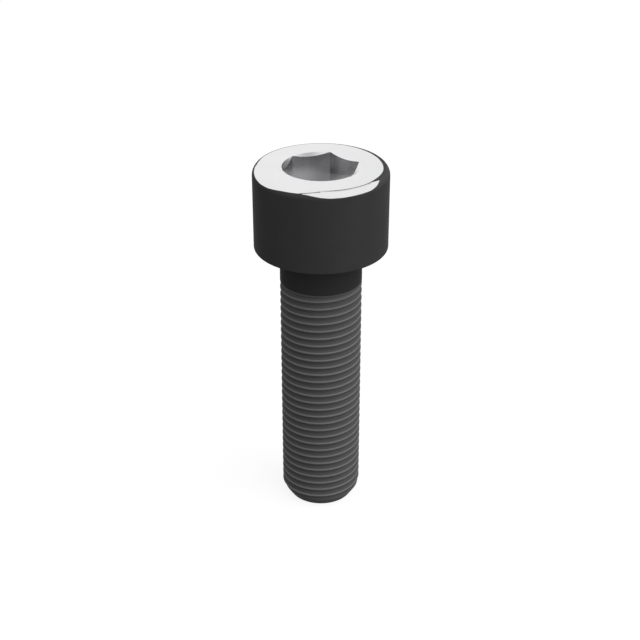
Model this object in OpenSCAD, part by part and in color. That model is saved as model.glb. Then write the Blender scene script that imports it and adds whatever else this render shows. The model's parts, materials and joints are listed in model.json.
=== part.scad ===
/* [Head] */
// Diameter of the cylindrical head
head_d = 16; // [14:0.1:20]
// Height of the head above its bearing face
head_h = 10; // [7.5:0.1:14]
// Radius of the rounded shoulder, which runs smoothly up from the side of the head
shoulder_r = 1.1; // [0.8:0.05:1.5]
// Radial width of the shoulder, where the flat top face cuts it off
shoulder_w = 0.55; // [0.2:0.05:0.8]
// Radius of the round on the rim of the bearing face
rim_round_r = 0.15; // [0.05:0.05:0.4]

/* [Socket] */
// Width of the hexagon across its flats
socket_af = 8; // [5:0.1:9.5]
// Depth of the full hexagon below the top face
socket_depth = 5; // [3:0.1:7]
// Depth of the shallow cone that the punch leaves below the hexagon
socket_floor_h = 1; // [0.4:0.1:1.5]
// Width of the ledge that the hexagon leaves round that cone
socket_ledge_w = 0.2; // [0.1:0.05:0.6]
// Diameter of the countersunk mouth, just inside the hexagon's corners
mouth_d = 9.1; // [6:0.1:11]
// Slope of the countersink, measured from the top face
mouth_slope = 27; // [20:1:60]

/* [Shank] */
// Length of the shank from the bearing face to the end
shank_l = 35; // [20:1:80]
// Major diameter of the thread, which the plain neck shares
thread_d = 9.9; // [8:0.05:11.5]
// Radius of the fillet between the neck and the bearing face
fillet_r = 0.5; // [0.2:0.05:1]
// Diameter of the flat end of the point
point_d = 8.1; // [6:0.1:8.7]
// Height of the chamfered point
point_h = 1.4; // [0.6:0.1:3]

/* [Hidden] */
$fn = 96;
// Circles and radii that the cuts and rounds share
head_r = head_d / 2;
thread_r = thread_d / 2;
point_r = point_d / 2;
corner_r = socket_af / 2 / cos(30);
mouth_r = mouth_d / 2;
mouth_h = mouth_r * tan(mouth_slope);
floor_r = socket_af / 2 - socket_ledge_w;
// Height at which the flat top face cuts the shoulder's arc, above where the arc begins
shoulder_h = sqrt(shoulder_w * (2 * shoulder_r - shoulder_w));
// Length by which a cutting tool clears the face it enters
tool_clear = 1;

// What is left of a square's corner outside the circle that rounds it
module corner_sliver(r) {
  difference() {
    square(r);
    translate([r, r]) circle(r);
  }
}

// What the rounded shoulder takes off the head's upper corner
module shoulder_cut() {
  translate([head_r - shoulder_r, head_h - shoulder_h])
    difference() {
      square(shoulder_r + tool_clear);
      circle(shoulder_r);
    }
}

// Half of the turned blank's section, from the axis outwards
module blank_section() {
  difference() {
    polygon([
      [0, -shank_l],
      [point_r, -shank_l],
      [thread_r, -shank_l + point_h],
      [thread_r, 0],
      [head_r, 0],
      [head_r, head_h],
      [0, head_h]
    ]);
    translate([head_r, 0]) mirror([1, 0]) corner_sliver(rim_round_r);
    shoulder_cut();
  }
  translate([thread_r, 0]) mirror([0, 1]) corner_sliver(fillet_r);
}

// Hexagonal recess with its countersunk mouth and its shallow conical floor
module socket_cut() {
  hexagon_z = head_h - socket_depth;
  translate([0, 0, hexagon_z])
    cylinder(r = corner_r, h = socket_depth + tool_clear, $fn = 6);
  translate([0, 0, hexagon_z - socket_floor_h])
    cylinder(r1 = 0, r2 = floor_r, h = socket_floor_h);
  translate([0, 0, head_h - mouth_h])
    cylinder(r1 = 0, r2 = mouth_r + tool_clear / tan(mouth_slope), h = mouth_h + tool_clear);
}

// The screw is one piece: bearing face at z = 0, head above it, shank below
module socket_head_screw() {
  difference() {
    color("#303030") rotate_extrude() blank_section();
    color("#b8b8b8") socket_cut();
  }
}

socket_head_screw();
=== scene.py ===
import json
from math import acos, asin, atan2, cos, degrees, hypot, pi, radians, sin, sqrt, tan

import bmesh
import bpy
from mathutils import Matrix, Vector


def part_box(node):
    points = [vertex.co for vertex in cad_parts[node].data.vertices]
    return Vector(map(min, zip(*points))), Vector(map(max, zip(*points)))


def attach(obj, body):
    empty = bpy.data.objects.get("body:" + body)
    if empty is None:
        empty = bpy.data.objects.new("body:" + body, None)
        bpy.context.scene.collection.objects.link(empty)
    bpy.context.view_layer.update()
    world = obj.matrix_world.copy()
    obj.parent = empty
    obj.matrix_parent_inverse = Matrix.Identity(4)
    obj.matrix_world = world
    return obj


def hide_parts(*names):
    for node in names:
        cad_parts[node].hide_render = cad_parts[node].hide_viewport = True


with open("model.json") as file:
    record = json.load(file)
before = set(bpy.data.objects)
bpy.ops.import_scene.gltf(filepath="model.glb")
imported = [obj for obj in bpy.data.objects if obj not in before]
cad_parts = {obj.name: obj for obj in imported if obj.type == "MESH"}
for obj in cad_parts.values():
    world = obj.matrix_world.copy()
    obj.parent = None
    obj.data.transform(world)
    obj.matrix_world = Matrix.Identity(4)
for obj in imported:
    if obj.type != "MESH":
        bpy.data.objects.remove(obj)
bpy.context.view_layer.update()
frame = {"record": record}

NODE = "socket_head_screw"

# Sizes that the frame gives, in metres
MM = 0.001
low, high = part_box(NODE)
mounts = {mount["name"]: mount for mount in frame["record"]["mounts"]}
HEAD_R = high.x
HEAD_H = high.z
END_Z = low.z
SHANK_R = mounts["shank"]["dims"]["r_mm"] * MM

# Head: rounded shoulder cut off by the top face, rounded rim below, fillet into the neck
SHOULDER_R = 1.1 * MM
SHOULDER_W = 0.55 * MM
SHOULDER_H = sqrt(SHOULDER_W * (2 * SHOULDER_R - SHOULDER_W))
SHOULDER_TURN = acos(1 - SHOULDER_W / SHOULDER_R)
SHOULDER_Z = HEAD_H - SHOULDER_H
FACE_R = HEAD_R - SHOULDER_W
EDGE_BREAK = 0.1 * MM
RIM_ROUND = 0.15 * MM
FILLET_R = 0.5 * MM
NECK_Z = -4.3 * MM

# Socket: hexagon for an 8 mm key, with a countersunk mouth and a coned floor
SOCKET_AF = 8.0 * MM
CORNER_R = SOCKET_AF / 2 / cos(radians(30))
MOUTH_R = 4.55 * MM
MOUTH_SLOPE = radians(27)
CORNER_LAND = 0.03 * MM
SOCKET_DEPTH = 5.0 * MM
SOCKET_Z = HEAD_H - SOCKET_DEPTH
FLOOR_R = 3.8 * MM
FLOOR_DROP = 1.0 * MM
# Where the ring between the countersink and the flats is spun, before it is drawn to its place
MOUTH_RING_DROP = 0.5 * MM

# Thread: fine metric, single start, right-hand, with a chamfered point
PITCH = 1.0 * MM
THREAD_DEPTH = 0.61 * MM
CREST_FLAT = PITCH / 8
FLANK_RUN = THREAD_DEPTH * tan(radians(30))
CREST_ROUND = 0.03 * MM
ROOT_ROUND = 0.07 * MM
FIRST_CREST_Z = -4.89 * MM
RUNOUT_TOP = -4.35 * MM
RUNOUT_END = -5.3 * MM
POINT_R = 4.05 * MM
POINT_H = 1.4 * MM
# Turns beyond the thread's length, which the neck and the end cut off, and how many of them lie above
SPARE_TURNS = 3
SPARE_ABOVE = 2

# Columns round the axis are a multiple of six, so that each socket corner lies on one
COLUMNS = 144
SHOULDER_STEPS = 8
FILLET_STEPS = 6
RIM_STEPS = 4
BREAK_STEPS = 2
CREST_STEPS = 2
ROOT_STEPS = 3
MERGE = 0.002 * MM
SHARP_ANGLE = radians(20)

# Camera of the photograph, fitted to the screw's outline
VIEW_AZIMUTH = radians(-16.7)
VIEW_ELEVATION = radians(28.60)
VIEW_DISTANCE = 154.491 * MM
VIEW_AIM_Z = -10.176 * MM
VIEW_ASIDE = 0.117 * MM
VIEW_CLIP = 0.01
FOCAL_PIXELS = 1258.18
PICTURE_PIXELS = 640
SENSOR_MM = 36.0

# Directions as the photograph's camera sees them
RIGHT = Vector((cos(VIEW_AZIMUTH), sin(VIEW_AZIMUTH), 0))
AWAY = Vector((-sin(VIEW_AZIMUTH), cos(VIEW_AZIMUTH), 0))
UP = Vector((0, 0, 1))

# Places on the shoulder are an angle round the screw, from the photograph's right towards away, and a turn
# of the shoulder's arc from its foot, both in degrees. The shoulder is bright above these places
# The bright steel above them is a painted glint, which stands in for a reflection on the black shoulder
PAINTED_GLINT_SPOTS = (
    (176, 60), (182, 48), (190, 37), (198, 29), (212, 21), (222, 22), (236, 32), (250, 36), (258, 33),
    (270, 19), (277, 14), (288, 13), (315, 16), (322, 26), (326, 37), (329, 47), (338, 58),
)
# It is dark again above these, at one end of the bright part, as painted shade where the glint ends
PAINTED_GLINT_END_SPOTS = ((319, 59), (325, 53), (329, 47), (338, 47))
# A thin line of painted shade in the bright part climbs through these to the face's edge
PAINTED_SHADE_LINE_SPOTS = ((249, 32), (254, 38.5), (264, 49), (271, 55.5))
LINE_HALF = radians(2)
LINE_SLACK = radians(0.6)
LINE_TOP = radians(54.5)
LINE_END = radians(55.5)

# Rings of the shoulder that are moved to those places, the place among them from which the arc is shared
# out evenly again, and the least turns between rings and between the bright part's start and the face
BRIGHT_RING = 4
TIP_RING = 6
LINE_RING = 7
BREAK_RING = 7.2
RING_GAP = radians(0.5)
LEAST_BRIGHT = radians(2)

# Blackened rim of the top face, widened by painted shade on its far and near right, and missing round the
# middle of a painted glint
RIM_WIDTH = 0.09 * MM
RIM_WIDER = 0.26 * MM
RIM_LEAST = 0.02 * MM
FAR_MIDDLE = radians(20)
FAR_POWER = 4
NEAR_MIDDLE = radians(345)
NEAR_HALF = radians(34)
NEAR_TAPER = radians(19)
NEAR_SHARE = 0.5
PAINTED_RIM_GLINT_MIDDLE = radians(222)
PAINTED_RIM_GLINT_HALF = radians(45)
PAINTED_RIM_GLINT_TAPER = radians(10)

# Finishes, as places in the screw's list of materials
BLACK, BRIGHT, PUNCHED = range(3)

# Rings that a wave texture draws in one unit at a scale of one
WAVE_RINGS = 3.18

# Stage, in metres and watts
FLOOR_HALF = 3.0
FLOOR_GLOW = 0.85
WORLD_LIGHT = 0.5
KEY_DIRECTION = (RIGHT * 0.75 - AWAY * 0.35 + UP * 0.56).normalized()
KEY_DISTANCE = 1.0
KEY_SIZE = 1.2
KEY_POWER = 6.0


# Places


def radius_of(spot):
    return hypot(spot.x, spot.y)


def set_radius(vert, radius):
    angle = atan2(vert.co.y, vert.co.x)
    vert.co.x = radius * cos(angle)
    vert.co.y = radius * sin(angle)


def photo_angle(spot):
    """Angle round the screw as the photograph shows it, from its right towards away."""
    return (atan2(spot.y, spot.x) - VIEW_AZIMUTH) % (2 * pi)


def apart(angle, other):
    return acos(cos(angle - other))


def smoothstep(t):
    t = min(max(t, 0), 1)
    return t * t * (3 - 2 * t)


def between(spots, place):
    """Value at a place, from spots that each give a place and a value, or None outside them."""
    for (start, low_value), (end, high_value) in zip(spots, spots[1:]):
        share = (place - start) / (end - start)
        if 0 <= share <= 1:
            return low_value + (high_value - low_value) * share
    return None


# Shoulder and rim


def turn_at(spots, angle):
    turn = between(spots, degrees(angle))
    return None if turn is None else radians(turn)


def painted_glint_turn(angle):
    """Turn of the shoulder's arc from which its painted glint starts."""
    turn = turn_at(PAINTED_GLINT_SPOTS, angle)
    return SHOULDER_TURN if turn is None else turn


def is_painted_glint(turn, angle):
    """Whether a place on the shoulder gets the painted glint."""
    tip = turn_at(PAINTED_GLINT_END_SPOTS, angle)
    line = turn_at(PAINTED_SHADE_LINE_SPOTS, angle)
    if turn <= painted_glint_turn(angle) or (tip is not None and turn > tip):
        return False
    return line is None or turn >= LINE_TOP or abs(turn - line) >= LINE_HALF + LINE_SLACK


def past_painted_rim_glint(angle):
    """How far an angle lies beyond the painted glint on the rim, below zero within it."""
    return apart(angle, PAINTED_RIM_GLINT_MIDDLE) - PAINTED_RIM_GLINT_HALF


# Width of the rim's black: a narrow edge break, widened by painted shade and narrowed within the painted
# glint
def rim_width(angle):
    far = max(cos(angle - FAR_MIDDLE), 0) ** FAR_POWER
    near = smoothstep((NEAR_HALF - apart(angle, NEAR_MIDDLE)) / NEAR_TAPER) * NEAR_SHARE
    width = RIM_WIDTH + RIM_WIDER * max(far, near)
    return max(width * smoothstep(past_painted_rim_glint(angle) / PAINTED_RIM_GLINT_TAPER), RIM_LEAST)


def shoulder_point(turn):
    """Radius and height of the shoulder's arc at a turn from its foot."""
    return HEAD_R - SHOULDER_R * (1 - cos(turn)), SHOULDER_Z + SHOULDER_R * sin(turn)


def shoulder_turn(height):
    return asin(min(max((height - SHOULDER_Z) / SHOULDER_R, -1), 1))


def ring_turn(ring, angle):
    """Turn to which a ring of the shoulder goes, so that its painted glint and shade end along rings."""
    bright = min(painted_glint_turn(angle), SHOULDER_TURN - LEAST_BRIGHT)
    spots = [(0, 0), (BRIGHT_RING, bright), (SHOULDER_STEPS, SHOULDER_TURN)]
    tip = turn_at(PAINTED_GLINT_END_SPOTS, angle)
    line = turn_at(PAINTED_SHADE_LINE_SPOTS, angle)
    if tip is not None:
        spots[2:2] = [(TIP_RING, max(tip, bright + RING_GAP))]
    elif line is not None and line <= LINE_END:
        upper = min(max(line + LINE_HALF, bright + 2 * RING_GAP), LINE_TOP)
        lower = max(upper - 2 * LINE_HALF, bright + RING_GAP)
        spots[2:2] = [(TIP_RING, lower), (LINE_RING, upper), (BREAK_RING, between(spots, BREAK_RING))]
    return between(spots, ring)


# Meshes


def wire(bm, points):
    """An open chain of edges through points given as radius and height."""
    verts = [bm.verts.new((radius, 0, height)) for radius, height in points]
    for pair in zip(verts, verts[1:]):
        bm.edges.new(pair)
    return verts


def round_corner(bm, vert, offset, segments):
    bmesh.ops.bevel(
        bm, geom=[vert], offset=offset, segments=segments, profile=0.5,
        affect="VERTICES", material=-1,
    )


def spin_chain(bm, rise=0):
    """Turns the whole chain once round the axis, rising by the given height as it goes."""
    bmesh.ops.spin(
        bm, geom=bm.verts[:] + bm.edges[:], cent=(0, 0, 0), axis=(0, 0, 1),
        dvec=(0, 0, rise / COLUMNS), angle=2 * pi, steps=COLUMNS, use_merge=rise == 0,
    )


def shape_shoulder(bm):
    """Moves the shoulder's rings to the edges of its painted glint and shade, and the face's outer ring to
    its rim.
    """
    for vert in bm.verts:
        angle = photo_angle(vert.co)
        radius = radius_of(vert.co)
        if radius > FACE_R and vert.co.z > SHOULDER_Z + MERGE:
            ring = shoulder_turn(vert.co.z) / SHOULDER_TURN * SHOULDER_STEPS
            radius, vert.co.z = shoulder_point(ring_turn(ring, angle))
            set_radius(vert, radius)
        elif abs(radius - FACE_R + EDGE_BREAK) < MERGE:
            set_radius(vert, FACE_R - rim_width(angle))


def shape_socket(bm):
    """Draws the socket's round rings to the hexagon and the countersink."""
    for vert in bm.verts:
        radius = radius_of(vert.co)
        outside = radius > (MOUTH_R + FACE_R) / 2
        if outside or vert.co.z < SOCKET_Z - FLOOR_DROP / 2:
            continue
        angle = atan2(vert.co.y, vert.co.x)
        flat = SOCKET_AF / 2 / cos(angle % radians(60) - radians(30))
        mouth = max(MOUTH_R, flat + CORNER_LAND)
        if vert.co.z > HEAD_H - MERGE:
            set_radius(vert, mouth)
        elif vert.co.z > HEAD_H - 2 * MOUTH_RING_DROP:
            set_radius(vert, flat)
            vert.co.z = HEAD_H - (mouth - flat) * tan(MOUTH_SLOPE)
        elif radius > FLOOR_R + MERGE:
            set_radius(vert, flat)


def head_mesh(bm):
    """Head and neck: one turned chain, whose rings are then drawn to their places."""
    steps = range(SHOULDER_STEPS + 1)
    chain = [
        (SHANK_R, NECK_Z),
        (SHANK_R, 0),
        (HEAD_R, 0),
        *[shoulder_point(SHOULDER_TURN * step / SHOULDER_STEPS) for step in steps],
        (MOUTH_R, HEAD_H),
        (CORNER_R, HEAD_H - MOUTH_RING_DROP),
        (CORNER_R, SOCKET_Z),
        (FLOOR_R, SOCKET_Z),
        (0, SOCKET_Z - FLOOR_DROP),
    ]
    _, under_head, bearing_rim, *rest = wire(bm, chain)
    round_corner(bm, under_head, FILLET_R, FILLET_STEPS)
    round_corner(bm, bearing_rim, RIM_ROUND, RIM_STEPS)
    round_corner(bm, rest[SHOULDER_STEPS], EDGE_BREAK, BREAK_STEPS)
    spin_chain(bm)
    shape_shoulder(bm)
    shape_socket(bm)


def point_radius(z):
    """Radius of the chamfered point's cone at a height."""
    return POINT_R + (z - END_Z) * (SHANK_R - POINT_R) / POINT_H


def thread_mesh(bm):
    """One turn of the thread, repeated down the shank, then faded into the neck and cut to the point."""
    root_r = SHANK_R - THREAD_DEPTH
    half = CREST_FLAT / 2
    turns = int((NECK_Z - END_Z) / PITCH) + SPARE_TURNS
    start = FIRST_CREST_Z - VIEW_AZIMUTH / (2 * pi) * PITCH
    first_z = start - (turns - SPARE_ABOVE) * PITCH
    chain = [
        (SHANK_R, first_z - half),
        (SHANK_R, first_z + half),
        (root_r, first_z + half + FLANK_RUN),
        (root_r, first_z + PITCH - half - FLANK_RUN),
        (SHANK_R, first_z + PITCH - half),
    ]
    _, crest, root, next_root, _ = wire(bm, chain)
    round_corner(bm, crest, CREST_ROUND, CREST_STEPS)
    round_corner(bm, root, ROOT_ROUND, ROOT_STEPS)
    round_corner(bm, next_root, ROOT_ROUND, ROOT_STEPS)
    flanks = [edge for edge in bm.edges if abs(edge.verts[0].co.x - edge.verts[1].co.x) > THREAD_DEPTH / 2]
    bmesh.ops.subdivide_edges(bm, edges=flanks, cuts=1)
    spin_chain(bm, rise=PITCH)
    turn = bm.verts[:] + bm.edges[:] + bm.faces[:]
    for number in range(1, turns):
        copy = bmesh.ops.duplicate(bm, geom=turn)["geom"]
        moved = [item for item in copy if isinstance(item, bmesh.types.BMVert)]
        bmesh.ops.translate(bm, verts=moved, vec=(0, 0, number * PITCH))
    for vert in bm.verts:
        z = min(max(vert.co.z, END_Z), NECK_Z)
        depth = SHANK_R - radius_of(vert.co)
        kept = smoothstep((RUNOUT_TOP - z) / (RUNOUT_TOP - RUNOUT_END))
        set_radius(vert, min(SHANK_R - depth * kept, point_radius(z)))
        vert.co.z = z


def finish_and_painted_light_of(face):
    """Finish of a face: blackened, turned bright or punched, with painted glint and shade on the shoulder
    and the face's rim.
    """
    centre = face.calc_center_median()
    radius = radius_of(centre)
    angle = photo_angle(centre)
    if centre.z < SOCKET_Z - FLOOR_DROP:
        return BLACK
    # On the shoulder, bright steel is a painted glint, and the black where it ends and along its line is
    # painted shade
    if radius > FACE_R:
        return BRIGHT if is_painted_glint(shoulder_turn(centre.z), angle) else BLACK
    # On the face's rim: black, or bright steel as painted glint where the rim is missing
    if radius > FACE_R - rim_width(angle):
        return BRIGHT if past_painted_rim_glint(angle) < 0 else BLACK
    in_countersink = face.normal.z > 0.5 and centre.z > HEAD_H - 2 * MOUTH_RING_DROP
    return BRIGHT if in_countersink else PUNCHED


def object_of(name, bm):
    """An object at the origin from a mesh under construction."""
    mesh = bpy.data.meshes.new(name)
    bm.to_mesh(mesh)
    bm.free()
    made = bpy.data.objects.new(name, mesh)
    bpy.context.scene.collection.objects.link(made)
    return made


def make_screw():
    """The thread joined to the head and neck, and closed at its flat end."""
    head = bmesh.new()
    head_mesh(head)
    part = bpy.data.meshes.new("head")
    head.to_mesh(part)
    head.free()
    bm = bmesh.new()
    thread_mesh(bm)
    bm.from_mesh(part)
    bpy.data.meshes.remove(part)
    bmesh.ops.remove_doubles(bm, verts=bm.verts, dist=MERGE)
    bmesh.ops.dissolve_degenerate(bm, edges=bm.edges, dist=MERGE)
    rim = [edge for edge in bm.edges if edge.is_boundary]
    bmesh.ops.edgeloop_fill(bm, edges=rim)
    bmesh.ops.recalc_face_normals(bm, faces=bm.faces)
    for face in bm.faces:
        face.smooth = True
        face.material_index = finish_and_painted_light_of(face)
    screw = object_of("screw", bm)
    for finish in (blackened_steel_and_painted_shading(), faced_steel_and_painted_glint(), punched_steel()):
        screw.data.materials.append(finish)
    screw.data.set_sharp_from_angle(angle=SHARP_ANGLE)
    weighted = screw.modifiers.new("weighted_normals", "WEIGHTED_NORMAL")
    weighted.keep_sharp = True
    return screw


# Materials


def linear(colour):
    """Turns an sRGB hex colour to linear, with an alpha of one."""
    channels = [int(colour[start:start + 2], 16) / 255 for start in (1, 3, 5)]
    return [c / 12.92 if c <= 0.04045 else ((c + 0.055) / 1.055) ** 2.4 for c in channels] + [1]


def add_node(tree, kind, inputs=(), **settings):
    """Adds a node with its settings, and fills or links its inputs."""
    made = tree.nodes.new("ShaderNode" + kind)
    for name, value in settings.items():
        setattr(made, name, value)
    for key, value in dict(inputs).items():
        if isinstance(value, bpy.types.NodeSocket):
            tree.links.new(value, made.inputs[key])
        else:
            made.inputs[key].default_value = value
    return made


def new_material(name):
    """A material with its node tree and its shader."""
    material = bpy.data.materials.new(name)
    material.use_nodes = True
    tree = material.node_tree
    return material, tree, tree.nodes["Principled BSDF"]


def blackened_steel_and_painted_shading():
    # Hot black oxide on alloy steel: a dark satin skin, lighter on the thread's crests, partly worn oxide
    # and partly a painted highlight
    material, tree, shader = new_material("black_oxide_steel_and_painted_shading")
    place = add_node(tree, "TexCoord").outputs["Object"]
    parts = add_node(tree, "SeparateXYZ", {0: place})
    mottle = add_node(tree, "TexNoise", {"Vector": place, "Scale": 1 / (2.5 * MM), "Detail": 3.0})
    skin = add_node(
        tree, "Mix", {"Factor": mottle.outputs["Fac"], 6: linear("#404041"), 7: linear("#484849")},
        data_type="RGBA",
    )
    # Along the screw, painted light makes the shoulder lighter, painted shade darkens the neck under the
    # head, and painted light makes the rolled thread lighter against the shade in its grooves
    painted_shading_bands = (
        ("#515152", SHOULDER_Z, HEAD_H - SHOULDER_H / 3),
        ("#3a3a3b", 0.2 * MM, -0.6 * MM),
        ("#626263", NECK_Z, RUNOUT_TOP),
    )
    for painted_tone, start_z, end_z in painted_shading_bands:
        share = add_node(
            tree, "MapRange", {"Value": parts.outputs["Z"], "From Min": start_z, "From Max": end_z},
        )
        skin = add_node(
            tree, "Mix", {"Factor": share.outputs[0], 6: skin.outputs[2], 7: linear(painted_tone)},
            data_type="RGBA",
        )
    x_squared = add_node(
        tree, "Math", {0: parts.outputs["X"], 1: parts.outputs["X"]}, operation="MULTIPLY",
    )
    squares = add_node(
        tree, "Math", {0: parts.outputs["Y"], 1: parts.outputs["Y"], 2: x_squared.outputs[0]},
        operation="MULTIPLY_ADD",
    )
    radius = add_node(tree, "Math", {0: squares.outputs[0]}, operation="SQRT")
    crest = add_node(
        tree, "MapRange",
        {"Value": radius.outputs[0], "From Min": SHANK_R - 0.12 * MM, "From Max": SHANK_R - 0.02 * MM},
    )
    full_thread = add_node(
        tree, "MapRange", {"Value": parts.outputs["Z"], "From Min": RUNOUT_TOP, "From Max": RUNOUT_END},
    )
    # Lighter crests, partly worn oxide and partly a painted highlight
    crest_wear_and_highlight = add_node(
        tree, "Math", {0: crest.outputs[0], 1: full_thread.outputs[0]}, operation="MULTIPLY",
    )
    colour = add_node(
        tree, "Mix", {"Factor": crest_wear_and_highlight.outputs[0], 6: skin.outputs[2], 7: linear("#848485")},
        data_type="RGBA",
    )
    tree.links.new(colour.outputs[2], shader.inputs["Base Color"])
    grain = add_node(tree, "TexNoise", {"Vector": place, "Scale": 1 / (0.25 * MM), "Detail": 2.0})
    roughness = add_node(
        tree, "MapRange", {"Value": grain.outputs["Fac"], "To Min": 0.42, "To Max": 0.54},
    )
    tree.links.new(roughness.outputs[0], shader.inputs["Roughness"])
    bump = add_node(
        tree, "Bump", {"Height": grain.outputs["Fac"], "Strength": 0.08, "Distance": 0.02 * MM},
    )
    tree.links.new(bump.outputs[0], shader.inputs["Normal"])
    shader.inputs["Metallic"].default_value = 0.0
    shader.inputs["Specular IOR Level"].default_value = 0.004
    return material


def faced_steel_and_painted_glint():
    # Bright steel faced on a lathe: rings a tool leaves, drawn at 0.3 mm because the real feed is too fine
    # On the shoulder this steel also stands as a painted glint
    material, tree, shader = new_material("lathe_faced_steel_and_painted_glint")
    place = add_node(tree, "TexCoord").outputs["Object"]
    rings = add_node(
        tree, "TexWave", {"Vector": place, "Scale": 1 / (0.3 * MM) / WAVE_RINGS, "Distortion": 0.0},
        wave_type="RINGS", rings_direction="Z",
    )
    bump = add_node(
        tree, "Bump", {"Height": rings.outputs["Fac"], "Strength": 0.03, "Distance": 0.01 * MM},
    )
    tree.links.new(bump.outputs[0], shader.inputs["Normal"])
    blotch = add_node(tree, "TexNoise", {"Vector": place, "Scale": 1 / (3 * MM), "Detail": 2.0})
    colour = add_node(
        tree, "Mix", {"Factor": blotch.outputs["Fac"], 6: linear("#e6e6e7"), 7: linear("#ececed")},
        data_type="RGBA",
    )
    tree.links.new(colour.outputs[2], shader.inputs["Base Color"])
    shader.inputs["Metallic"].default_value = 1.0
    shader.inputs["Roughness"].default_value = 0.28
    return material


def punched_steel():
    # Steel scraped by the hexagon punch: greyer than the face, with drag lines along the axis
    material, tree, shader = new_material("punched_steel")
    place = add_node(tree, "TexCoord").outputs["Object"]
    stretched = add_node(tree, "Mapping", {"Vector": place, "Scale": (1, 1, 0.06)})
    lines = add_node(
        tree, "TexNoise", {"Vector": stretched.outputs[0], "Scale": 1 / (0.25 * MM), "Detail": 2.0},
    )
    colour = add_node(
        tree, "Mix", {"Factor": lines.outputs["Fac"], 6: linear("#d8d8d9"), 7: linear("#e2e2e3")},
        data_type="RGBA",
    )
    tree.links.new(colour.outputs[2], shader.inputs["Base Color"])
    bump = add_node(
        tree, "Bump", {"Height": lines.outputs["Fac"], "Strength": 0.04, "Distance": 0.02 * MM},
    )
    tree.links.new(bump.outputs[0], shader.inputs["Normal"])
    shader.inputs["Metallic"].default_value = 1.0
    shader.inputs["Roughness"].default_value = 0.2
    return material


def matt_paper(name, colour):
    # Uncoated paper or card, with no gloss
    material, tree, shader = new_material(name)
    shader.inputs["Base Color"].default_value = linear(colour)
    shader.inputs["Roughness"].default_value = 0.9
    shader.inputs["Specular IOR Level"].default_value = 0.0
    return material, tree, shader


# Stage


def seen_directly(tree):
    """One for rays from the camera, and for those reflected or let through, which should meet white."""
    rays = add_node(tree, "LightPath")
    either = add_node(
        tree, "Math", {0: rays.outputs["Is Camera Ray"], 1: rays.outputs["Is Glossy Ray"]},
        operation="MAXIMUM",
    )
    return add_node(
        tree, "Math", {0: either.outputs[0], 1: rays.outputs["Is Transmission Ray"]}, operation="MAXIMUM",
    ).outputs[0]


def make_world():
    world = bpy.data.worlds.new("studio")
    bpy.context.scene.world = world
    world.use_nodes = True
    tree = world.node_tree
    background = tree.nodes["Background"]
    strength = add_node(
        tree, "MapRange", {"Value": seen_directly(tree), "To Min": WORLD_LIGHT, "To Max": 1.0},
    )
    tree.links.new(strength.outputs[0], background.inputs["Strength"])
    background.inputs["Color"].default_value = (1, 1, 1, 1)


def make_floor():
    bm = bmesh.new()
    bmesh.ops.create_grid(bm, x_segments=1, y_segments=1, size=FLOOR_HALF)
    bmesh.ops.translate(bm, verts=bm.verts, vec=(0, 0, END_Z))
    floor = object_of("floor", bm)
    material, tree, shader = matt_paper("pale_paper", "#8c8c8c")
    glow = add_node(tree, "Math", {0: seen_directly(tree), 1: FLOOR_GLOW}, operation="MULTIPLY")
    tree.links.new(glow.outputs[0], shader.inputs["Emission Strength"])
    shader.inputs["Emission Color"].default_value = (1, 1, 1, 1)
    floor.data.materials.append(material)


def standing(side, back, spot):
    """Matrix of a camera or lamp at a spot, with its x axis along a side and its back to a direction."""
    return Matrix.Translation(spot) @ Matrix((side, back.cross(side), back)).transposed().to_4x4()


def make_lamp():
    """A soft square lamp that looks at the screw's head and doesn't show in reflections."""
    data = bpy.data.lights.new("key_box", "AREA")
    data.shape = "RECTANGLE"
    data.size = data.size_y = KEY_SIZE
    data.energy = KEY_POWER
    lamp = bpy.data.objects.new("key_box", data)
    bpy.context.scene.collection.objects.link(lamp)
    side = (UP - KEY_DIRECTION * UP.dot(KEY_DIRECTION)).normalized()
    lamp.matrix_world = standing(side, KEY_DIRECTION, KEY_DIRECTION * KEY_DISTANCE)
    lamp.visible_glossy = False


def make_card(name, colour, distance, corners):
    """An upright card that shows in reflections only.

    Its corners are given as azimuths, counted clockwise from straight behind the screw, and heights.
    """
    azimuths = [radians(azimuth) for azimuth, _ in corners]
    middle = (min(azimuths) + max(azimuths)) / 2
    bm = bmesh.new()
    verts = []
    for azimuth, (_, height) in zip(azimuths, corners):
        reach = distance / cos(azimuth - middle)
        verts.append(bm.verts.new((RIGHT * sin(azimuth) + AWAY * cos(azimuth)) * reach + UP * height))
    bm.faces.new(verts)
    card = object_of(name, bm)
    card.visible_camera = False
    card.visible_diffuse = False
    card.visible_shadow = False
    card.data.materials.append(matt_paper("grey_card", colour)[0])


def make_camera():
    data = bpy.data.cameras.new("photo_camera")
    data.sensor_width = SENSOR_MM
    data.lens = FOCAL_PIXELS * SENSOR_MM / PICTURE_PIXELS
    data.clip_start = VIEW_CLIP
    camera = bpy.data.objects.new("photo_camera", data)
    bpy.context.scene.collection.objects.link(camera)
    back = -AWAY * cos(VIEW_ELEVATION) + UP * sin(VIEW_ELEVATION)
    aim = UP * VIEW_AIM_Z - RIGHT * VIEW_ASIDE
    camera.matrix_world = standing(RIGHT, back, aim + back * VIEW_DISTANCE)
    bpy.context.scene.camera = camera


make_camera()
make_world()
make_floor()
make_lamp()
make_card("right_card", "#505050", 0.3, ((-1, END_Z), (11, END_Z), (44, 0.32), (31, 0.32)))
make_card("upper_card", "#808080", 0.1, ((8, 0.17), (42, 0.17), (42, 0.34), (8, 0.34)))

screw = make_screw()
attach(screw, "root")
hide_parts(NODE)

bpy.context.scene.view_settings.view_transform = "Standard"
